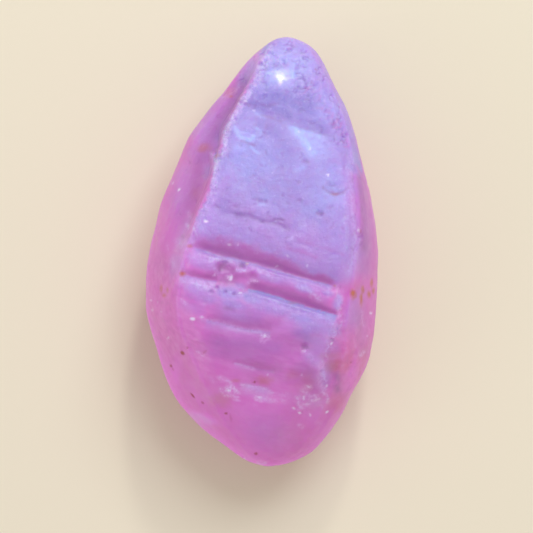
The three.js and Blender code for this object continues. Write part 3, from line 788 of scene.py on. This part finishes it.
def frosted_skin_and_sheen_at(points, left, right, wander, broad, fine):
    """How frosted the skin is at each point of the upper face; its lavender is partly a painted cool
    sheen. It runs out over the face's right edge.
    """
    x, y, _ = points.T
    over = ease(y + 0.3 * wander + 0.6 * broad, 2.6, 4)
    worn = fade(y, 0.6, 1.4)
    inside = ease(left + 0.06 * fine + 0.2 * worn * wander, -0.05 - 0.4 * worn, 0.08 + 0.4 * worn)
    inside = inside * ease(-right + 0.15 * wander, -0.6 - 2 * over, 0.5 - 1.6 * over)
    inside = inside * (1 - 0.15 * ease(right + 0.15 * wander, -0.35, 0.15) * ease(y, 3, 4.5))
    inside = np.maximum(inside, 0.9 * ease(y, 6.9, 7.5) * ease(x + 0.2 * wander, -0.5, 0.2))
    layer = layer_of(points) + 0.15 * wander
    # The skin is stronger on the higher layers, partly as painted sheen.
    thickness = 0.74 + 0.26 * ease(layer, 0.2, 3.2)
    return inside * ease(layer, -0.8, -0.2) * thickness * (1 + 0.1 * broad + 0.08 * wander)


def wall_shade_and_lip_sheen_at(points, wander, fine):
    """How much painted shade, as clear deep pink, lies on the wall above each ledge at each point, and how
    frosted the lip below is, with its painted lighter sheen.
    """
    walls = np.zeros(len(points))
    lips = np.zeros(len(points))
    for ledge, height, reach, ends in ledge_heights(points, wander, fine):
        above = height / reach
        faded = np.clip(1 - above - 0.22 * wander - 0.08 * fine, 0, 1)
        foot = 0.5 + 0.5 * ease(above, 0, 0.35)
        wall = ledge["pink"] * ease(height, 0, 0.08) * ease(faded, 0, 0.7) * foot * ends
        spread = np.exp(np.minimum(height, 0) / ledge["veil"])
        lip = ledge["lilac"] * fade(height, 0, 0.08) * spread * ends
        walls = np.maximum(walls, wall)
        lips = np.maximum(lips, lip)
    return walls, lips


def hollow_shade_at(points, left, wander):
    """How much painted shade, as deeper pink, the hollow beside the left edge gets at each point."""
    hollow, share = follow(points, HOLLOW_SHADE)
    first, last = HOLLOW_WIDTHS
    width = first + (last - first) * share
    sides = ease(share, 0, 0.1) * (1 - 0.65 * ease(share, 0.58, 0.7)) * fade(share, 0.7, 1)
    return (0.6 + 0.15 * wander) * bell(hollow, width) * sides * ease(-left, -0.05, 0.08)


def streaks_and_highlights_at(points, left, wander, fine):
    """The bruised streaks and painted highlights at each point, and the pale crumbled band along the left
    edge, partly a painted highlight.
    """
    streaks = lines_at(points, STREAKS, wander, 0.06 * fine) * (0.85 + 0.7 * fine)
    band = np.interp(points[:, 1], *np.transpose(EDGE_HIGHLIGHT_BAND)) * bell(left - 0.08 + 0.06 * wander, 0.17)
    band = band * ease(left + 0.08 * fine, -0.03, 0.09)
    return np.maximum(streaks, band * (0.8 + 0.5 * wander))


def specks_at(points):
    """The inclusions at each point."""
    specks = np.zeros(len(points))
    for x, y, long, short, turn, strength in SPECKS:
        run, rise = turned(points, x, y, math.radians(turn))
        specks = np.maximum(specks, strength * fade(np.hypot(run / long, rise / short), 0.4, 1.1))
    return specks


def glints_at(points, fine):
    """The bright chips and painted glints at each point. Each is a sliver that lies its own way."""
    glints = np.zeros(len(points))
    for x, y, radius, strength in GLINTS:
        run, rise = turned(points, x, y, 7 * (x + y))
        away = np.hypot(0.85 * run, 1.5 * rise) / radius * (1 + 0.4 * fine)
        glints = np.maximum(glints, strength * fade(away, 0.3, 1.1))
    return glints


def colour_marks(stone, crumbs, creases, knocks):
    """Paints where the frosted skin and its painted sheen, the clear pink and painted shade, bruises and
    painted highlights, the painted glowing rims, stains, inclusions, and chips and painted glints are.
    """
    points, normals = read_surface(stone)
    x, y, z = points.T
    wander = drift(points, 0.45, 11)
    broad = drift(points, 1.6, 12)
    fine = drift(points, 0.15, 13)
    left, _ = follow(points, LEFT_EDGE)
    right, _ = follow(points, RIGHT_EDGE)
    layer = layer_of(points) + 0.15 * wander
    front = ease(normals[:, 2], 0, 0.25)
    hidden = fade(normals[:, 2], -0.1, 0.3)

    frost_and_sheen = frosted_skin_and_sheen_at(points, left, right, wander, broad, fine)
    frost_and_sheen = np.maximum(frost_and_sheen, layered_patches_at(points, VEILS, wander, fine))
    # The frosting round the sides and underneath is patchy.
    ends = ease(y + 0.5 * broad, 3, 6)
    patchy = ease(broad + 0.6 * wander + 0.25 * fine + 0.06 * y + 0.6 * ends, -0.6, 1.3)
    frost_and_sheen = frost_and_sheen * (1 - hidden) + (0.5 + 0.3 * ends) * patchy * hidden

    # The ledge walls get painted shade as clear deep pink, and the lips get frosting with a painted sheen.
    walls, lips = wall_shade_and_lip_sheen_at(points, wander, fine)
    frost_and_sheen = np.maximum(frost_and_sheen, lips)
    clear = np.maximum(lines_at(points, CLEAR, wander), walls)
    for radius, rim, lean in crescents(points, fine):
        clear = np.maximum(clear, (0.2 + 0.25 * wander) * rim * ease(-lean, -0.7 * radius, radius))

    ice_and_highlights = lines_at(points, ICE_AND_HIGHLIGHTS, wander) * (0.85 + 0.3 * fine) * ease(y, 1, 1.5)
    step, _ = follow(points, TIP_STEP)
    ice_and_highlights = ice_and_highlights * (1 - ease(step, -0.12, 0.02) * fade(step, 0.5, 0.9))

    # Painted light through the thin rim: the flanks are lighter, most towards the lower left and low down.
    painted_glow = fade(normals[:, 2], 0.1, 0.85) * ease(-y - 0.6 * x + 0.5 * broad, -1, 3)
    painted_glow = painted_glow * (1 - 0.6 * hidden) * fade(z, 3, 4)
    milky = 0.45 * hidden * (0.8 + 0.5 * wander)
    # Painted shade in a thin band just below the left edge.
    shade_under_edge = 0.15 * bell(left + 0.09, 0.1) * ease(y, 0.8, 1.6)
    between = ease(-layer, 0.8, 1.8) * fade(-layer, 4.2, 5.4)
    shown = ease(normals[:, 2] + 0.3 * ease(y, 2.6, 4), 0, 0.4)
    fray = 0.25 * wander + 0.25 * fine

    for name, values in {
        "frost_and_sheen": frost_and_sheen * (1 - 0.9 * clear) * np.maximum(shown, hidden),
        "warm": ease(x + 0.5 * y + 1.2 * broad + 0.5 * wander, -1, 3) * ease(-y, 2, 4.5),
        "rim": np.maximum(painted_glow, layered_patches_at(points, PAINTED_GLOWS, wander, fine) * front),
        "haze": np.maximum(layered_patches_at(points, HAZES, wander, fine) * front, milky),
        "crumbs": crumbs,
        "creases": creases * front,
        "layers": 0.25 + 0.75 * between * front,
        "violet": np.maximum(lines_at(points, VIOLET_SHADE, wander), shade_under_edge) * front,
        # Deep pink: clear pink, and painted shade on the ledge walls and in the hollow.
        "deep": np.maximum(0.85 * clear, hollow_shade_at(points, left, wander)) * front,
        "ice_and_highlights": ice_and_highlights * front,
        "streaks": np.maximum(streaks_and_highlights_at(points, left, wander, fine) * front, 0.35 * knocks),
        "stains": patches_at(points, STAINS, fray, 0.1, 1.2) * front,
        "dusky_shade": lines_at(points, DUSKY_SHADE, wander) * (0.8 + 0.4 * fine) * front,
        "specks": specks_at(points) * front,
        "glints": glints_at(points, fine) * front,
        "polish": polish_at(points, wander, fine) * front,
    }.items():
        paint(stone, name, values)


def build_material(settings):
    """Pink sapphire, corundum, tumbled in a river: milky and translucent, under a frosted skin.

    Light goes in and comes back pink, most at the thin rims, where the glowing is partly painted. The
    abraded skin's cool lavender is partly a painted sheen, the ledge walls and the hollow by the left
    edge carry painted shade, the chips carry painted glints, and one place near the tip is glassy.
    """
    material = bpy.data.materials.new("river_worn_pink_sapphire")
    material.use_nodes = True
    tree = material.node_tree
    tree.nodes.clear()

    def add(kind, links=None, **values):
        """Adds a node. values are its settings, links say what goes into which input."""
        node = tree.nodes.new(kind)
        for name, value in values.items():
            setattr(node, name, value)
        for socket, value in (links or {}).items():
            entry = node.inputs[socket]
            if isinstance(value, bpy.types.NodeSocket):
                tree.links.new(value, entry)
            else:
                entry.default_value = value
        return node

    place = add("ShaderNodeTexCoord").outputs["Object"]
    # Turned and stretched so that features lie along the growth layers.
    layered = {"Vector": place, "Rotation": (0, 0, LAYER_TURN), "Scale": (LAYER_STRETCH, 1, 1)}
    along = add("ShaderNodeMapping", layered, vector_type="TEXTURE").outputs[0]

    # The marks that are painted on the stone.
    marks = {}
    for name in (
        "frost_and_sheen", "warm", "rim", "haze", "crumbs", "creases", "layers", "violet", "deep", "ice_and_highlights", "streaks",
        "stains", "dusky_shade", "specks", "glints", "polish",
    ):
        marks[name] = add("ShaderNodeAttribute", attribute_name=name).outputs["Fac"]

    # Noises: the size of their features in millimetres, their detail and where they lie.
    noises = {}
    for name, size, detail, where in (
        ("veils", 0.9, 5, place),
        ("growth", 0.22, 4, along),
        ("skin", 1.5, 4, place),
        ("haze", 0.35, 4, place),
        ("grit", 0.17, 5, place),
        ("bruises", 0.09, 4, place),
        ("mottle", 0.28, 4, place),
        ("dust", 0.1, 2, place),
        ("gloss", 0.3, 3, place),
        ("grain", 0.07, 4, place),
        ("lumps", 0.25, 4, place),
    ):
        links = {"Vector": where, "Scale": 1 / (size * MM), "Detail": detail}
        noises[name] = add("ShaderNodeTexNoise", links).outputs["Fac"]

    # Strengths: a noise or a mark, the range of it that counts, and the strength at each end of that.
    strengths = {}
    for name, value, low, high, at_low, at_high in (
        ("pale_veils", noises["veils"], 0.45, 0.7, 0, 0.25),
        ("pale_layers", noises["growth"], 0.48, 0.72, 0, 0.4),
        ("deep_layers", noises["growth"], 0.5, 0.3, 0, 0.2),
        ("pinker_skin", noises["skin"], 0.35, 0.65, 0, 1),
        ("patchy_haze", noises["haze"], 0.3, 0.6, 0.5, 1),
        ("grit_hollows", noises["grit"], 0.44, 0.32, 0, 0.6),
        ("grit_tops", noises["grit"], 0.5, 0.64, 0, 0.7),
        ("broken_bruises", noises["bruises"], 0.4, 0.55, 0.4, 1),
        ("mottling", noises["mottle"], 0.5, 0.66, 0, 0.12),
        ("dusting", noises["dust"], 0.6, 0.72, 0, 0.18),
        ("uneven_gloss", noises["gloss"], 0.3, 0.7, -0.08, 0.08),
        ("lilac", marks["frost_and_sheen"], 0.1, 0.4, 0, 1),
        ("skinned", marks["frost_and_sheen"], 0.1, 0.7, 0.15, 1),
        ("satin", marks["frost_and_sheen"], 0, 1, settings.body_roughness, settings.frost_roughness),
        ("glassy", marks["polish"], 0, 1, 0, -0.3),
        ("unpolished", marks["polish"], 0.2, 0.9, 0.4, 0.03),
        ("broken_skin", marks["crumbs"], 0, 0.8, 0, 1.4),
    ):
        links = {"Value": value, "From Min": low, "From Max": high, "To Min": at_low, "To Max": at_high}
        strengths[name] = add("ShaderNodeMapRange", links).outputs["Result"]

    # Colours between two others: the share of the second, and the two.
    blends = {}
    for name, share, first, second in (
        ("skin", strengths["pinker_skin"], settings.frost_sheen_colour, settings.frost_shade),
        ("bruise", strengths["lilac"], settings.milky_colour, settings.bruise_colour),
        ("shade", strengths["lilac"], settings.deep_pink_and_shade_colour, settings.violet_shade_colour),
    ):
        links = {MIX_SHARE: share, MIX_FIRST: first, MIX_SECOND: second}
        blends[name] = add("ShaderNodeMix", links, data_type="RGBA").outputs[MIX_RESULT]

    # Coats, each over the last: where each is, how strong it is and its colour.
    colour = settings.body_colour
    for where, strength, coat in (
        (marks["warm"], 1, settings.warm_colour),
        # Painted light glowing through the thin rim.
        (marks["rim"], 0.8, settings.rim_glow_colour),
        (strengths["pale_veils"], 1, settings.pale_colour),
        (marks["layers"], strengths["pale_layers"], settings.pale_colour),
        (marks["layers"], strengths["deep_layers"], settings.deep_pink_and_shade_colour),
        (marks["haze"], strengths["patchy_haze"], settings.haze_colour),
        # The lavender skin, partly a painted cool sheen.
        (marks["frost_and_sheen"], 1, blends["skin"]),
        # Painted shade, in violet.
        (marks["violet"], 1, settings.violet_shade_colour),
        # Painted shade in the creases and the finer knock marks on the skin.
        (marks["creases"], 0.4, settings.dusky_shade_colour),
        # Deep pink: clear pink, and painted shade on the ledge walls and in the hollow.
        (marks["deep"], 1, settings.deep_pink_and_shade_colour),
        # Blue-white bruises and painted highlights.
        (marks["ice_and_highlights"], 1, settings.ice_highlight_colour),
        (marks["crumbs"], strengths["grit_hollows"], blends["shade"]),
        # Bruised streaks and painted highlights on lit edges.
        (marks["streaks"], strengths["broken_bruises"], blends["bruise"]),
        (marks["crumbs"], strengths["grit_tops"], blends["bruise"]),
        (marks["stains"], 1, settings.stain_colour),
        # Painted shade in pits, cracks and grooves.
        (marks["dusky_shade"], 1, settings.dusky_shade_colour),
        (marks["specks"], 1, settings.speck_colour),
        (strengths["skinned"], strengths["mottling"], settings.deep_pink_and_shade_colour),
        (strengths["skinned"], strengths["dusting"], blends["bruise"]),
        # Bright chips and painted glints.
        (marks["glints"], 1, settings.chip_and_glint_colour),
    ):
        share = add("ShaderNodeMath", {0: where, 1: strength}, operation="MULTIPLY").outputs[0]
        links = {MIX_SHARE: share, MIX_FIRST: colour, MIX_SECOND: coat}
        colour = add("ShaderNodeMix", links, data_type="RGBA").outputs[MIX_RESULT]

    roughness = strengths["satin"]
    for change in ("uneven_gloss", "glassy"):
        links = {0: roughness, 1: strengths[change]}
        roughness = add("ShaderNodeMath", links, operation="ADD").outputs[0]

    # Grain that is too fine for the mesh: each noise and its height in millimetres.
    links = {0: strengths["broken_skin"], 1: strengths["skinned"]}
    broken = add("ShaderNodeMath", links, operation="ADD").outputs[0]
    links = {0: strengths["unpolished"], 1: broken}
    relief = {"Strength": add("ShaderNodeMath", links, operation="MULTIPLY").outputs[0]}
    for name, height in (("grain", 0.03), ("lumps", 0.09)):
        relief["Distance"] = height * MM
        relief["Height"] = noises[name]
        relief["Normal"] = add("ShaderNodeBump", relief).outputs[0]

    surface = {
        "Base Color": colour,
        "Roughness": roughness,
        "Normal": relief["Normal"],
        "IOR": 1.76,
        "Subsurface Weight": 0.85,
        "Subsurface Radius": (1.0, 0.35, 0.85),
        "Subsurface Scale": 1.6 * MM,
    }
    shader = add("ShaderNodeBsdfPrincipled", surface, subsurface_method="RANDOM_WALK")
    add("ShaderNodeOutputMaterial", {"Surface": shader.outputs[0]})
    return material


# ----------------------------------------------------------
# The stage.


def add_light(name, place, aim, size, watts, colour):
    """A square soft light at a place, pointing at aim, all in metres."""
    bpy.ops.object.select_all(action="DESELECT")
    bpy.ops.object.light_add(type="AREA", location=place)
    light = bpy.context.object
    light.name = name
    light.data.size = size
    light.data.energy = watts
    light.data.color = linear(colour)[:3]
    light.rotation_euler = (Vector(aim) - Vector(place)).to_track_quat("-Z", "Y").to_euler()


# ----------------------------------------------------------
# The add-on.


def colour_property(name, description, colour):
    """A colour that the user can change, with its default as an sRGB hex value."""
    return bpy.props.FloatVectorProperty(
        name=name, description=description, default=linear(colour), size=4, subtype="COLOR"
    )


class CrystalSettings(bpy.types.PropertyGroup):
    """Sizes and colours of the crystal."""

    mesh_step: bpy.props.FloatProperty(
        name="Mesh step", description="Spacing of the fine mesh", default=0.06 * MM, unit="LENGTH",
        precision=6,
    )
    kept_faces: bpy.props.FloatProperty(
        name="Kept faces", description="Share of the faces left once the underside is thinned",
        default=0.74, subtype="FACTOR",
    )
    flank_fill: bpy.props.FloatProperty(
        name="Flank fill", description="How far the flanks are brought out again after smoothing",
        default=0.075 * MM, unit="LENGTH", precision=6,
    )
    lip_wear: bpy.props.IntProperty(
        name="Lip wear", description="How many times the lips below the ledges are smoothed", default=120,
    )
    relief: bpy.props.FloatProperty(
        name="Relief", description="How strongly the ledges, grooves and pits are cut", default=1,
        subtype="FACTOR",
    )
    knocks: bpy.props.IntProperty(
        name="Knocks", description="How many crescent marks there are on the flanks and underneath",
        default=90,
    )
    pecks: bpy.props.IntProperty(
        name="Pecks", description="How many finer marks there are on the upper skin", default=110,
    )
    dents: bpy.props.IntProperty(
        name="Dents", description="How many broad hollows there are low on the sides and underneath",
        default=34,
    )
    body_roughness: bpy.props.FloatProperty(
        name="Body roughness", description="Roughness of the smooth flanks", default=0.42,
        subtype="FACTOR",
    )
    frost_roughness: bpy.props.FloatProperty(
        name="Frost roughness", description="Roughness of the frosted skin", default=0.58,
        subtype="FACTOR",
    )
    body_colour: colour_property("Body", "Pink of the stone", "#DC76CC")
    warm_colour: colour_property("Warm", "Warmer pink patches", "#DA72A2")
    # Rim is painted light glowing through the thin rim.
    rim_glow_colour: colour_property("Rim", "Thin rim, where light comes through the stone", "#F080F0")
    pale_colour: colour_property("Pale", "Milky veils in the body", "#E49CDE")
    # Deep is also painted shade, on the ledge walls and in the hollow beside the left edge.
    deep_pink_and_shade_colour: colour_property("Deep", "Clear deep pink in the hollows and under the ledges", "#B05CAE")
    haze_colour: colour_property("Haze", "Pinkish milky haze round the ledges", "#DCA2E2")
    # The skin's lavender is partly a painted cool sheen.
    frost_sheen_colour: colour_property("Frost", "Abraded lavender skin", "#A99EE2")
    frost_shade: colour_property("Frost shade", "Pinker places in the skin", "#A68FD6")
    # Violet is painted shade on the skin and flanks.
    violet_shade_colour: colour_property("Violet", "Thinner places in the skin", "#8472C4")
    # Ice is partly painted highlight.
    ice_highlight_colour: colour_property("Ice", "Blue-white bruises in the skin", "#B6C6FC")
    milky_colour: colour_property("Milky", "Pinkish white bruises in the clear body", "#E8C2F0")
    # Bruise also colours the painted highlights.
    bruise_colour: colour_property("Bruise", "Whitish lilac bruises", "#D8C8F8")
    # Chip also colours the painted glints.
    chip_and_glint_colour: colour_property("Chip", "Fresh bright chips", "#EEE4FA")
    stain_colour: colour_property("Stain", "Iron stains", "#C46C4C")
    # Dusky is painted shade in pits, cracks, grooves and creases.
    dusky_shade_colour: colour_property("Dusky", "Dusky violet in pits and cracks", "#98609E")
    speck_colour: colour_property("Speck", "Red-brown inclusions", "#A0203C")


class StageSettings(bpy.types.PropertyGroup):
    """Floor and camera."""

    floor_colour: colour_property("Floor", "Pale floor", "#EFE5C8")
    lens: bpy.props.FloatProperty(
        name="Lens", description="Focal length in millimetres", default=250,
    )
    framed_width: bpy.props.FloatProperty(
        name="Framed width", description="Width of the picture at the stone", default=19.89 * MM,
        unit="LENGTH", precision=5,
    )


class SAPPHIRE_OT_crystal(bpy.types.Operator):
    """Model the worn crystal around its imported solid"""

    bl_idname = "sapphire.crystal"
    bl_label = "Worn crystal"

    def execute(self, context):
        settings = context.scene.sapphire_crystal
        stone = refined_copy(settings)
        carve(stone, settings)
        dent(stone, settings)
        crumbs, creases = weather(stone, settings)
        points, normals = read_surface(stone)
        flanks = (normals[:, 2] < 0.15) & (points[:, 2] > 0.1)
        skin = (normals[:, 2] > 0.5) & (layer_of(points) > 0.6) & (polish_at(points, 0, 0) == 0)
        knocks = knock(stone, flanks, settings.knocks, KNOCK_RADII, KNOCK_DEPTH * settings.relief)
        pecks = knock(stone, skin, settings.pecks, PECK_RADII, PECK_DEPTH * settings.relief)
        colour_marks(stone, crumbs, np.maximum(creases, 0.7 * pecks), knocks)
        stone.data.materials.clear()
        stone.data.materials.append(build_material(settings))
        bpy.ops.object.shade_smooth()
        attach(stone, "root")
        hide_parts(NODE)
        return {"FINISHED"}


class SAPPHIRE_OT_stage(bpy.types.Operator):
    """Make the floor, the soft lights and the camera"""

    bl_idname = "sapphire.stage"
    bl_label = "Stage"

    def execute(self, context):
        settings = context.scene.sapphire_stage
        bpy.ops.object.select_all(action="DESELECT")
        bpy.ops.mesh.primitive_plane_add(size=FLOOR_SIZE, location=(0, 0, -FLOOR_DROP))
        floor = bpy.context.object
        floor.name = "floor"
        paper = bpy.data.materials.new("pale_paper")
        paper.use_nodes = True
        shader = paper.node_tree.nodes["Principled BSDF"]
        shader.inputs["Base Color"].default_value = settings.floor_colour
        shader.inputs["Roughness"].default_value = 0.9
        floor.data.materials.append(paper)

        world = bpy.data.worlds.new("pale_room")
        world.use_nodes = True
        background = world.node_tree.nodes["Background"]
        background.inputs["Color"].default_value = linear(ROOM_COLOUR)
        background.inputs["Strength"].default_value = ROOM_STRENGTH
        context.scene.world = world

        for light in LIGHTS:
            add_light(*light)

        distance = settings.framed_width * settings.lens / SENSOR_WIDTH
        bpy.ops.object.select_all(action="DESELECT")
        bpy.ops.object.camera_add(location=VIEW_CENTRE + Vector((0, 0, distance)), rotation=(0, 0, 0))
        camera = bpy.context.object
        camera.name = "camera"
        camera.data.lens = settings.lens
        camera.data.clip_start = 0.001
        camera.data.clip_end = 5
        context.scene.camera = camera
        context.scene.view_settings.view_transform = "Standard"
        return {"FINISHED"}


class SAPPHIRE_PT_panel(bpy.types.Panel):
    """The pieces of the sapphire and its stage."""

    bl_label = "Sapphire"
    bl_space_type = "VIEW_3D"
    bl_region_type = "UI"
    bl_category = "Sapphire"

    def draw(self, context):
        for settings in (context.scene.sapphire_crystal, context.scene.sapphire_stage):
            for name in settings.bl_rna.properties.keys():
                if name not in {"name", "rna_type"}:
                    self.layout.prop(settings, name)
        self.layout.operator(SAPPHIRE_OT_crystal.bl_idname)
        self.layout.operator(SAPPHIRE_OT_stage.bl_idname)


CLASSES = (CrystalSettings, StageSettings, SAPPHIRE_OT_crystal, SAPPHIRE_OT_stage, SAPPHIRE_PT_panel)


def register():
    for cls in CLASSES:
        bpy.utils.register_class(cls)
    bpy.types.Scene.sapphire_crystal = bpy.props.PointerProperty(type=CrystalSettings)
    bpy.types.Scene.sapphire_stage = bpy.props.PointerProperty(type=StageSettings)


def unregister():
    del bpy.types.Scene.sapphire_stage
    del bpy.types.Scene.sapphire_crystal
    for cls in reversed(CLASSES):
        bpy.utils.unregister_class(cls)


def main():
    """Builds the crystal and its stage."""
    register()
    bpy.ops.sapphire.crystal()
    bpy.ops.sapphire.stage()


if __name__ == "__main__":
    main()
